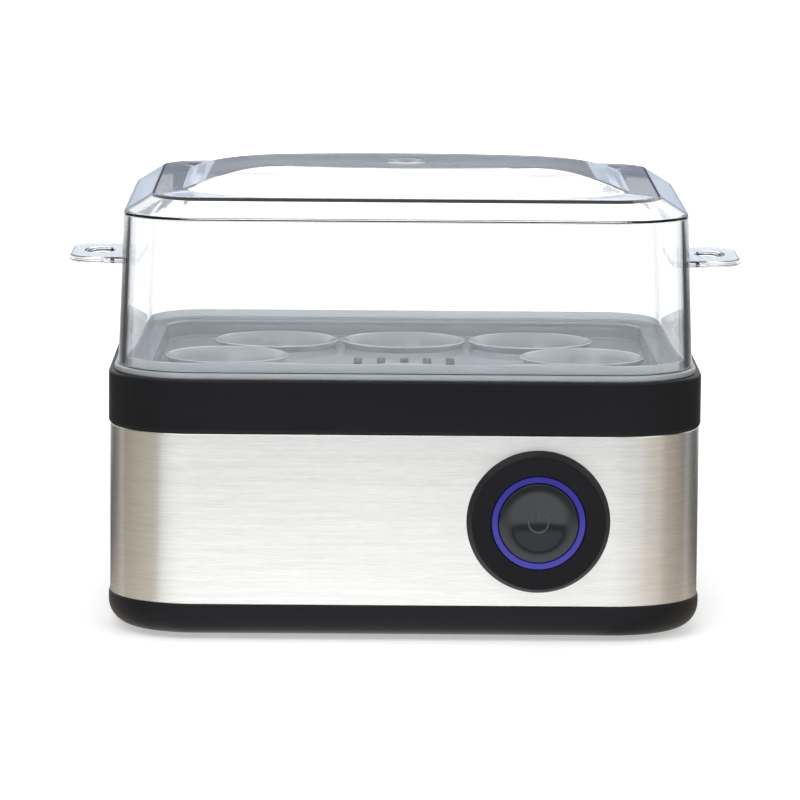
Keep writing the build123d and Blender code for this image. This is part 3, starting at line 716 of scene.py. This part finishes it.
class COOKER_OT_tray(Builder):
    """Models the milky egg tray: flange, locating rib, tub, eight egg seats and steam slots"""

    bl_idname = "cooker.tray"
    bl_label = "Egg Tray"

    def execute(self, context):
        flange_low = BOXES["top_ring"][1].z / MM
        middle = flange_low + 1.0
        piece = self.body_outline("clear_tray", 2, middle)
        walk((0, 0.5), *bend(0.5, "wall", 1, 3), (3.1, 0), *bend(0.4, "land", 1, 2), (0, 2.2))
        walk(*bend(0.4, "wall", 1, 2), (0.7, 0), *bend(0.4, "land", -1, 2), (0, -2.2), *bend(0.4, "wall", -1, 2))
        walk((5.6, 0), *bend(0.8, "land", -1, 3), (0, -4.2), *bend(1.0, "wall", -1, 3))
        walk_below(middle * MM, (0, 0.5), *bend(0.5, "wall", 1, 3), (9.2, 0), *bend(0.8, "land", 1, 3))
        walk((0, 4.2), *bend(1.0, "wall", 1, 3))
        slope, low, high = 5.0 / 7.0, BOXES["egg_tray"][0].z / MM, flange_low - 1.5
        throats = [(0, low - 1), (15.5 - slope, low - 1), (20.5 + slope, high + 1), (0, high + 1)]
        steps = self.sizes.turn_steps
        carve(piece, repeat(turn("throats", throats, (*SEAT_PLACES[0], 0), steps=steps), SEAT_PLACES))
        seat = [(15.7, low), (17.0, low), (17.35, low + 0.3), (22.0, high - 0.5), (22.0, high - 0.2), (21.6, high)]
        seat += [(20.9, high), (20.4, high - 0.3), (15.6, low + 0.3)]
        carve(piece, repeat(turn("seats", seat, (*SEAT_PLACES[0], 0), steps=steps), SEAT_PLACES), "UNION")
        slot_rows = [((column - 2) * 8 * MM, 0) for column in range(5)]
        carve(piece, repeat(slot_tool(1.5, 11, 80, 86, slot_rows[0]), slot_rows))
        finish = clear_plastic("tray_plastic", self.colours.tray, 0.55, 0.10)
        hand_over(piece, "tray", ["egg_tray"], finish)
        return {"FINISHED"}


class COOKER_OT_lid(Builder):
    """Models the clear lid: drafted wall, sloped shoulder, vaulted crown, vent and two ears"""

    bl_idname = "cooker.lid"
    bl_label = "Clear Lid"

    def crown(self, level, wall):
        """Shapes the crown on the picked shoulder face, with each face moved in by a wall thickness."""
        size = self.sizes
        side = 1 if wall == 0 else -1
        shift = wall * tan(atan2(size.shoulder_rise, size.shoulder_width) / 2)
        land = 2.0
        walk((land, 0))
        inset = size.lid_inset + size.lid_draft + size.shoulder_width + shift + land * MM
        run = (size.half_width - size.corner, size.half_depth - size.corner)
        half = (size.crown_half[0] - shift, size.crown_half[1] - shift)
        corner = size.crown_corner - shift
        self.gather(level, run, size.corner - inset, (half[0] - corner, half[1] - corner), corner)
        walk((0, side * size.plateau_rise / MM))
        self.vault(level, half[0], size.vault_radius - wall, shift)

    def vault(self, level, half, radius, shift):
        """Lowers the crown's top on both sides along a vault, and leans its front and rear in to meet it."""
        size = self.sizes
        rise, top = size.plateau_rise, level + size.plateau_rise
        flat = half - (radius**2 - (radius - rise) ** 2) ** 0.5
        bulge = size.plateau_half - size.plateau_end
        mesh = bmesh.from_edit_mesh(bpy.context.object.data)
        stations = {round(abs(v.co.x) / NEAR): abs(v.co.x) for v in mesh.verts if abs(v.co.z - top) < NEAR}
        for x in sorted(stations.values()):
            drop = radius - (radius**2 - max(x - flat, 0) ** 2) ** 0.5

            def at_station(place, way):
                return abs(place.z - top) < NEAR and abs(abs(place.x) - x) < NEAR

            mesh = bmesh.from_edit_mesh(bpy.context.object.data)
            foot = next(abs(v.co.y) for v in mesh.verts if at_station(v.co, None))
            edge = size.plateau_half - shift - bulge * (x / size.crown_half[0]) ** 2
            lean = (foot + (1 - drop / rise) * (edge - foot)) / foot
            pick(at_station)
            stretch(1, lean, 1, (0, 0, top))
            for way in (-1, 1) if x > NEAR else (1,):
                pick(lambda place, out: at_station(place, out) and place.x * way > -NEAR)
                bpy.ops.mesh.vert_connect_path()
            pick(at_station)
            move(z=-drop)
        pick(lambda place, way: level + NEAR < place.z < top and abs(way.x) < NEAR and abs(way.z) > MM, "EDGE")
        bpy.ops.mesh.subdivide(number_cuts=6)

    def gather(self, level, old_centre, old_round, new_centre, new_round):
        """Moves the four corner rounds of the loop at one level to new centres and a new radius."""
        edge_y = old_centre[1] + old_round
        inner_x = old_centre[0] - NEAR

        def on_loop(place):
            reach_x, reach_y = abs(place.x) - old_centre[0], abs(place.y) - old_centre[1]
            if abs(place.z - level) > NEAR:
                return False
            if reach_x < -NEAR:
                return abs(abs(place.y) - edge_y) < 2 * NEAR
            corner = (max(reach_x, 0) ** 2 + max(reach_y, 0) ** 2) ** 0.5
            return abs(corner - old_round) < 5 * NEAR

        shape = bmesh.from_edit_mesh(bpy.context.object.data)
        corners = {quadrant: [] for quadrant in QUADRANTS}
        middles = {-1: [], 1: []}
        for v in shape.verts:
            if on_loop(v.co):
                x, y = 1 if v.co.x > 0 else -1, 1 if v.co.y > 0 else -1
                members = corners[x, y] if abs(v.co.x) >= inner_x else middles[y]
                members.append(v.index)
        for (x, y), members in corners.items():
            self.take_vertices(members)
            centre = (x * old_centre[0], y * old_centre[1], level)
            stretch(new_round / old_round, new_round / old_round, 1, centre)
            move(x * (new_centre[0] - old_centre[0]), y * (new_centre[1] - old_centre[1]))
        for y, members in middles.items():
            self.take_vertices(members)
            stretch(new_centre[0] / old_centre[0], 1, 1, (0, 0, level))
            move(y=y * (new_centre[1] + new_round - edge_y))
        pick(lambda place, way: abs(place.z - level) < NEAR and abs(way.z) > 0.99
             and abs(place.x) < NEAR and abs(place.y) < NEAR, "FACE")

    @staticmethod
    def take_vertices(members):
        """Selects vertices by their numbers."""
        pick_none("VERT")
        mesh = bpy.context.object.data
        shape = bmesh.from_edit_mesh(mesh)
        shape.verts.ensure_lookup_table()
        for number in members:
            shape.verts[number].select_set(True)
        shape.select_flush_mode()
        bmesh.update_edit_mesh(mesh)

    def execute(self, context):
        size = self.sizes
        low, high = (corner.z for corner in BOXES["lid"])
        crease_level = high - size.plateau_rise - size.shoulder_rise
        shoulder_top = crease_level + size.shoulder_rise
        piece = self.body_outline("clear_lid", size.lid_inset / MM, low / MM)
        half_run = size.half_width - size.corner
        pick(lambda place, way: abs(place.x) < NEAR and abs(way.x) > half_run, "EDGE")
        bpy.ops.mesh.subdivide(number_cuts=9)
        pick_all("FACE")
        bpy.ops.mesh.dissolve_faces(use_verts=False)
        walk((size.lid_draft / MM, (crease_level - low) / MM), (size.shoulder_width / MM, size.shoulder_rise / MM))
        self.crown(shoulder_top, 0.0)
        wall, slope = size.wall, atan2(size.shoulder_rise, size.shoulder_width)
        inner_crease = crease_level - wall * (1 / cos(slope) - tan(slope))
        inner_top = high - size.plateau_rise - wall
        shoulder_in = size.shoulder_width - wall + wall * tan(slope / 2)
        walk_below(low, (wall / MM, 0), (size.lid_draft / MM, (low - inner_crease) / MM))
        walk((shoulder_in / MM, (inner_crease - inner_top) / MM))
        self.crown(inner_top, wall)
        clean()
        rim = size.lid_inset + size.lid_draft
        turns = (slope, pi / 2 - slope - atan2(size.lid_draft, crease_level - low))
        for levels, shift in (((shoulder_top, crease_level), 0.0), ((inner_top, inner_crease), wall)):
            insets = (rim + size.shoulder_width + shift * tan(slope / 2), rim + shift)
            for level, inset, turned in zip(levels, insets, turns):
                corner = (size.half_width - inset, size.half_depth - inset, size.corner - inset)
                round_edges(crease(level, *corner), size.crease_round * tan(turned / 2), 5)
        arch_foot, arch_half = shoulder_top + NEAR, size.crown_half[0] - 4 * MM

        def on_arch(place, way):
            return place.z > arch_foot and abs(way.x) > 5 * NEAR and abs(place.x) < arch_half

        round_edges(on_arch, size.arch_round)
        top, bore, dish, ear_rise = high / MM, 4.0, 7.2, 30.3
        hole = [(0, 140), (bore, 140), (bore, top - 1.0), (bore + 0.3, top - 0.85), (dish - 0.2, top - 0.1)]
        hole += [(dish, top), (dish, top + 1), (0, top + 1)]
        carve(piece, turn("vent", hole, (0, 0, 0), steps=64))
        for side in (-1, 1):
            carve(piece, self.ear(side, low / MM + ear_rise), "UNION")
        hand_over(piece, "lid", ["lid"], clear_plastic("lid_plastic", self.colours.clear))
        return {"FINISHED"}

    def ear(self, side, level):
        """Makes one ear: a plate with widely rounded corners and an oval hole, to be joined to the lid's wall."""
        inner, outer, half_depth, corner, sheet = 94.6, BOXES["lid"][1].x / MM, 23.5, 11, 2.2
        hole_place, hole_half, hole_stretch = 105.5, 5.3, 1.8
        centre = (side * (inner + outer) / 2 * MM, 0)
        plate = outline("ear", (outer - inner) / 2 * MM, half_depth * MM, 0, level * MM, 1, centre)
        pick(lambda place, way: abs(place.x) > abs(centre[0]))
        bpy.ops.mesh.bevel(offset=corner * MM, segments=16, affect="VERTICES")
        pick_all("FACE")
        walk((0, sheet))
        walk_below(level * MM)
        soften(plate, 0.9 * MM, 40, 5)
        hole = drum(hole_half, level - 1, level + sheet + 1, (side * hole_place * MM, 0, 0), steps=64)
        edit(hole)
        stretch(1, hole_stretch, 1, (0, 0, 0))
        carve(plate, hole)
        return plate


class COOKER_OT_button(Builder):
    """Models the button: bezel, lit ring, dished cap and the raised on and off mark"""

    bl_idname = "cooker.button"
    bl_label = "Push Button"

    def execute(self, context):
        steps = self.sizes.turn_steps
        bezel = [(15.9, -66), (15.9, -82.7), (16.15, -83.0), (21.3, -83.9), (21.8, -83.98), (22.15, -83.9)]
        bezel += [(22.45, -83.55), (23.75, -80.1), (24.0, -79.6), (24.0, -79.5), (19.5, -79.5), (19.5, -66)]
        piece = turn("button_surround", bezel, BUTTON_CENTRE, False, steps)
        finish = satin_plastic("bezel_plastic", self.colours.housing, 0.5, 0.12)
        hand_over(piece, "base", ["button_bezel"], finish)
        ring = [(13.5, -76), (13.5, -82.5), (13.7, -82.8), (15.5, -82.8), (15.7, -82.5), (15.7, -76)]
        piece = turn("blue_ring", ring, BUTTON_CENTRE, False, steps)
        hand_over(piece, "base", ["light_ring"], lit_ring("ring_diffuser", self.colours.light))
        dish = [(9.5 * i / 8, -83.1 + 1.3 * (1 - (i / 8) ** 2)) for i in range(9)]
        edge = self.sizes.button_radius / MM
        cap = dish + [(edge - 0.5, -83.1), (edge - 0.15, -82.95), (edge, -82.6), (edge, -78.1), (4.5, -78.1)]
        piece = turn("dished_cap", cap + [(4.5, -66.3), (0, -66.3)], BUTTON_CENTRE, False, steps)
        finish = gloss_plastic("cap_plastic", self.colours.cap, 0.09)
        hand_over(piece, "button", ["button_cap"], finish)
        self.mark()
        return {"FINISHED"}

    def mark(self):
        """Models the on and off mark: an open ring and an upright bar standing on the dish."""
        x, z = BUTTON_CENTRE[0], BUTTON_CENTRE[2]
        depth = -81.97
        section = [(2.95, depth + 0.2), (2.95, depth - 0.1), (3.05, depth - 0.2), (3.55, depth - 0.23)]
        section += [(3.65, depth - 0.13), (3.65, depth + 0.2)]
        ring = turn("power_mark", section, BUTTON_CENTRE, False, 72)
        pick(lambda place, way: place.z > z and abs(place.x - x) < 0.72 * (place.z - z), "FACE")
        bpy.ops.mesh.delete(type="FACE")
        for side in (-1, 1):
            pick_open_edges()
            shape = bmesh.from_edit_mesh(ring.data)
            for line in shape.edges:
                if line.select and (line.verts[0].co.x - x) * side < 0:
                    line.select_set(False)
            bmesh.update_edit_mesh(ring.data)
            bpy.ops.mesh.edge_face_add()
        leave_edit()
        bar = outline("mark_bar", 0.35 * MM, 0.25 * MM, 0, z + 0.9 * MM, 1, (x, (depth - 0.02) * MM))
        walk((0, 3.4))
        walk_below(z + 0.9 * MM)
        soften(bar, 0.1 * MM)
        piece = join([ring, bar])
        hand_over(piece, "button", [], gloss_plastic("mark_plastic", (0.055, 0.06, 0.07), 0.3))


class COOKER_OT_gland(Builder):
    """Models the ribbed cord gland at the rear"""

    bl_idname = "cooker.gland"
    bl_label = "Cord Gland"

    def execute(self, context):
        profile = [(3.6, 68.5), (3.6, 83.6), (3.9, 84.0), (6.1, 84.0), (6.4, 83.7), (6.6, 83.0), (6.9, 83.0)]
        profile += [(7.3, 82.2), (7.1, 82.2), (7.5, 81.4), (7.9, 81.4), (8.5, 80.4), (9.0, 79.9), (9.0, 79.5)]
        profile += [(6.0, 79.5), (6.0, 68.5)]
        piece = turn("ribbed_gland", profile, GLAND_CENTRE, False, 72)
        finish = satin_plastic("gland_plastic", self.colours.housing, 0.5)
        hand_over(piece, "base", ["cord_gland"], finish)
        return {"FINISHED"}


class COOKER_OT_inner_parts(Builder):
    """Gives every carried-over frame node its own finish"""

    bl_idname = "cooker.inner_parts"
    bl_label = "Inner Parts"

    def execute(self, context):
        for finish, names in (
            (metal("zinc_plate", (0.62, 0.63, 0.62), 0.32),
             ("housing_screws", "plate_washers", "plate_nuts", "clip_screws", "terminal_screws")),
            (metal("tab_brass", (0.72, 0.55, 0.25), 0.35), ("earth_tab", "thermostat_blades", "switch_tabs")),
            (satin_plastic("red_silicone", (0.42, 0.08, 0.05), 0.6), ("plate_gasket", "fuse_sleeve")),
            (metal("element_sheath", (0.36, 0.34, 0.32), 0.42, (200, 2000, 2000)),
             ("heating_element", "element_pins", "fuse_clip")),
            (satin_plastic("fitting_plastic", (0.02, 0.02, 0.022), 0.45),
             ("gland_nut", "bezel_nut", "switch_holder", "switch_body")),
            (metal("cast_aluminium", (0.74, 0.75, 0.77), 0.45, (1500, 1500, 1500)), ("heat_spreader",)),
            (satin_plastic("brown_case", (0.08, 0.045, 0.025), 0.35), ("thermostat",)),
            (satin_plastic("block_plastic", (0.70, 0.68, 0.60), 0.45), ("terminal_block", "switch_plunger")),
            (gloss_plastic("solder_mask", (0.01, 0.13, 0.05), 0.25), ("led_board",)),
            (gloss_plastic("lamp_lens", (0.75, 0.80, 0.90), 0.15), ("leds",)),
            (metal("fuse_cap", (0.72, 0.70, 0.66), 0.25), ("thermal_fuse",)),
        ):
            for name in names:
                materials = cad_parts[name].data.materials
                materials.clear()
                materials.append(finish)
        return {"FINISHED"}


# Stage


class COOKER_OT_stage(Builder):
    """Sets up the floor, the studio walls, the lamps, the world and the camera"""

    bl_idname = "cooker.stage"
    bl_label = "Stage"

    def execute(self, context):
        scene = context.scene
        scene.view_settings.view_transform = "Standard"
        self.world(scene)
        self.floor()
        self.walls()
        self.lamps(scene)
        self.camera(scene)
        return {"FINISHED"}

    def world(self, scene):
        """White where the lens, a mirror or clear plastic shows it, softer where it only lights."""
        scene.world = scene.world or bpy.data.worlds.new("studio")
        sky = Finish("studio", scene.world)
        path = sky.add("ShaderNodeLightPath")
        seen = path.output("Is Camera Ray").math("MAXIMUM", path.output("Is Glossy Ray"))
        seen = seen.math("MAXIMUM", path.output("Is Transmission Ray"))
        unseen = 0.45
        light = sky.add("ShaderNodeBackground", {}, {"Color": (1, 1, 1, 1), "Strength": unseen + seen * (1 - unseen)})
        sky.add("ShaderNodeOutputWorld", {}, {"Surface": light})

    def surroundings(self, finish, strength, sheet=False):
        """What a mirror sees round the object: white in front, beige at the sides, dark behind."""
        aside = 0.07
        parts = finish.add("ShaderNodeSeparateXYZ", {}, {0: finish.place(1, 1, 1)})
        turned = (parts.output("X").math("ARCTAN2", parts.output("Y") * -1) + aside).math("ABSOLUTE") / pi
        stops = [
            (0.0, (1.0, 1.0, 1.0)), (0.15, (0.95, 0.95, 0.95)), (0.245, (0.74, 0.74, 0.73)),
            (0.26, (0.52, 0.49, 0.43)), (0.36, (0.42, 0.38, 0.32)), (0.50, (0.30, 0.26, 0.22)),
            (0.60, (0.11, 0.10, 0.09)), (0.75, (0.02, 0.02, 0.02)),
        ]
        tint = finish.ramp(turned, *stops)
        if sheet:
            tint = finish.mix(finish.ramp(parts.output("Y") * -1, (0.32, 0.0), (0.36, 0.85)), tint, (0, 0, 0))
        return finish.add("ShaderNodeEmission", {}, {"Color": tint, "Strength": strength})

    def floor(self):
        """Pale floor that shows white to the lens and keeps the soft shadow."""
        leave_edit()
        bpy.ops.mesh.primitive_plane_add(size=24, location=(0, 0, 0))
        floor = named("floor")
        edit(floor)
        bpy.ops.mesh.subdivide(number_cuts=6)
        leave_edit()
        pale = Finish("pale_floor")
        path = pale.add("ShaderNodeLightPath")
        seen = path.output("Is Camera Ray").math("MAXIMUM", path.output("Is Transmission Ray"))
        grain = pale.noise((40, 40, 40), 2.0)
        soft = pale.add("ShaderNodeBsdfDiffuse", {}, {"Color": pale.mix(grain, (0.80, 0.80, 0.80), (0.84, 0.84, 0.84))})
        away = pale.add("ShaderNodeVectorMath", {"operation": "LENGTH"}, {0: pale.place(1, 1, 1)}).output("Value")
        shine = pale.ramp(away / 4, (0.08, 0.45), (0.35, 0.80))
        glow = pale.add("ShaderNodeEmission", {}, {"Color": shine, "Strength": 1.0})
        lit = pale.add("ShaderNodeAddShader", {}, {0: soft, 1: glow})
        both = pale.add("ShaderNodeMixShader", {}, {0: seen, 1: soft, 2: lit})
        mirrored = path.output("Is Glossy Ray") * (1 - path.output("Is Transmission Ray"))
        both = pale.add("ShaderNodeMixShader", {}, {0: mirrored, 1: both, 2: self.surroundings(pale, 1.6, True)})
        pale.add("ShaderNodeOutputMaterial", {}, {"Surface": both})
        floor.data.materials.append(pale.owner)

    def card(self, name, centre, half_x, half_y, turned, tint, glossy, through):
        """Adds a studio card that only mirrors, or only clear pieces, show; one that both show fades out at its rim."""
        leave_edit()
        bpy.ops.mesh.primitive_plane_add(size=2, location=centre, rotation=turned)
        bpy.context.object.scale = (half_x, half_y, 1)
        card = named(name)
        glow = Finish(name + "_glow")
        if glossy and through:
            parts = glow.add("ShaderNodeSeparateXYZ", {}, {0: glow.place(1, 1, 1)})
            across = (parts.output("X").math("ABSOLUTE") - abs(centre[0])) / half_x
            up = (parts.output("Z") - centre[2]) / half_y
            fade = glow.ramp((across * across + up * up).math("SQRT"), (0.70, 0.0), (0.98, 1.0))
            light = glow.add("ShaderNodeEmission", {}, {"Color": glow.mix(fade, tint, (1, 1, 1)), "Strength": 1.0})
        elif tint:
            light = glow.add("ShaderNodeEmission", {}, {"Color": (*tint, 1), "Strength": 1.0})
        else:
            light = self.surroundings(glow, 0.8)
        glow.add("ShaderNodeOutputMaterial", {}, {"Surface": light})
        card.data.materials.append(glow.owner)
        card.visible_camera = card.visible_diffuse = card.visible_shadow = False
        card.visible_glossy, card.visible_transmission = glossy, through

    def walls(self):
        """Stands the cards round the object: pale walls, grey sides and a blue-grey rear."""
        upright = radians(90)
        facing, sideways = (upright, 0, 0), (upright, 0, upright)
        mirrors, clears, both = (True, False), (False, True), (True, True)
        self.card("front_wall", (0, -2.6, 1.0), 2.7, 1.4, facing, None, *mirrors)
        for side, name in ((-1, "left"), (1, "right")):
            self.card(name + "_wall", (side * 2.7, -0.8, 1.0), 1.8, 1.4, sideways, None, *mirrors)
            self.card(name + "_edge", (side * 0.545, 0.35, 0.055), 0.40, 0.07, facing, (0.08, 0.08, 0.085), *both)
            self.card(name + "_view", (side * 0.126, 0.99, 0.17), 0.012, 0.13, facing, (0.26, 0.28, 0.33), *clears)
        self.card("rear_band", (0, 9.0, 0.909), 0.95, 0.187, facing, (0.16, 0.18, 0.235), *mirrors)
        self.card("rear_sky", (0, 9.2, 0.90), 6.0, 1.0, facing, (0.62, 0.70, 0.83), *mirrors)
        self.card("rear_view", (0, 1.0, 0.1788), 0.5, 0.1212, facing, (0.30, 0.33, 0.39), *clears)

    def lamps(self, scene):
        """Adds large soft lamps: over the front, at the right side and behind."""
        for name, place, size, power in (
            ("key", (-0.6, -1.3, 1.7), 1.5, 16), ("fill", (1.4, -1.0, 1.0), 1.2, 7), ("back", (0.2, 1.4, 1.5), 1.4, 9),
        ):
            lamp = bpy.data.lights.new(name, "AREA")
            lamp.shape, lamp.size, lamp.energy = "SQUARE", size, power
            holder = bpy.data.objects.new(name, lamp)
            scene.collection.objects.link(holder)
            holder.location = place
            aim = Vector((0, 0, 0.07)) - Vector(place)
            holder.rotation_euler = aim.to_track_quat("-Z", "Y").to_euler()

    def camera(self, scene):
        """Stands the camera where the photograph was taken."""
        tilt, yaw, roll, distance = radians(8.05), radians(0.38), radians(0.46), 1.8025
        target = Vector((-1.32, 0, 70.6)) * MM
        ahead = Vector((sin(yaw) * cos(tilt), cos(yaw) * cos(tilt), -sin(tilt)))
        level = Vector((cos(yaw), -sin(yaw), 0))
        upright = level.cross(ahead)
        right = level * cos(roll) + upright * sin(roll)
        up = upright * cos(roll) - level * sin(roll)
        data = bpy.data.cameras.new("camera")
        data.sensor_fit, data.sensor_width, data.lens = "HORIZONTAL", 36, 233.28
        data.clip_start, data.clip_end = 0.1, 100
        camera = bpy.data.objects.new("camera", data)
        scene.collection.objects.link(camera)
        place = Matrix((right, up, -ahead)).transposed().to_4x4()
        place.translation = target - ahead * distance
        camera.matrix_world = place
        scene.camera = camera


class COOKER_PT_panel(Panel):
    """Lists the pieces in the sidebar"""

    bl_label = "Egg Cooker"
    bl_idname = "COOKER_PT_panel"
    bl_space_type = "VIEW_3D"
    bl_region_type = "UI"
    bl_category = "Egg Cooker"

    def draw(self, context):
        for group in (context.scene.cooker_sizes, context.scene.cooker_colours):
            box = self.layout.box()
            for name in group.__annotations__:
                box.prop(group, name)
        for step in STEPS:
            self.layout.operator(step.bl_idname)


STEPS = (
    COOKER_OT_stage, COOKER_OT_base_tub, COOKER_OT_feet, COOKER_OT_band, COOKER_OT_top_ring, COOKER_OT_plate,
    COOKER_OT_tray, COOKER_OT_lid, COOKER_OT_button, COOKER_OT_gland, COOKER_OT_inner_parts,
)
CLASSES = (CookerSizes, CookerColours, *STEPS, COOKER_PT_panel)


def register():
    for each in CLASSES:
        bpy.utils.register_class(each)
    bpy.types.Scene.cooker_sizes = PointerProperty(type=CookerSizes)
    bpy.types.Scene.cooker_colours = PointerProperty(type=CookerColours)


def unregister():
    del bpy.types.Scene.cooker_colours
    del bpy.types.Scene.cooker_sizes
    for each in reversed(CLASSES):
        bpy.utils.unregister_class(each)


def main():
    """Makes every piece in order."""
    register()
    for step in STEPS:
        group, name = step.bl_idname.split(".")
        getattr(getattr(bpy.ops, group), name)()


if __name__ == "__main__":
    main()
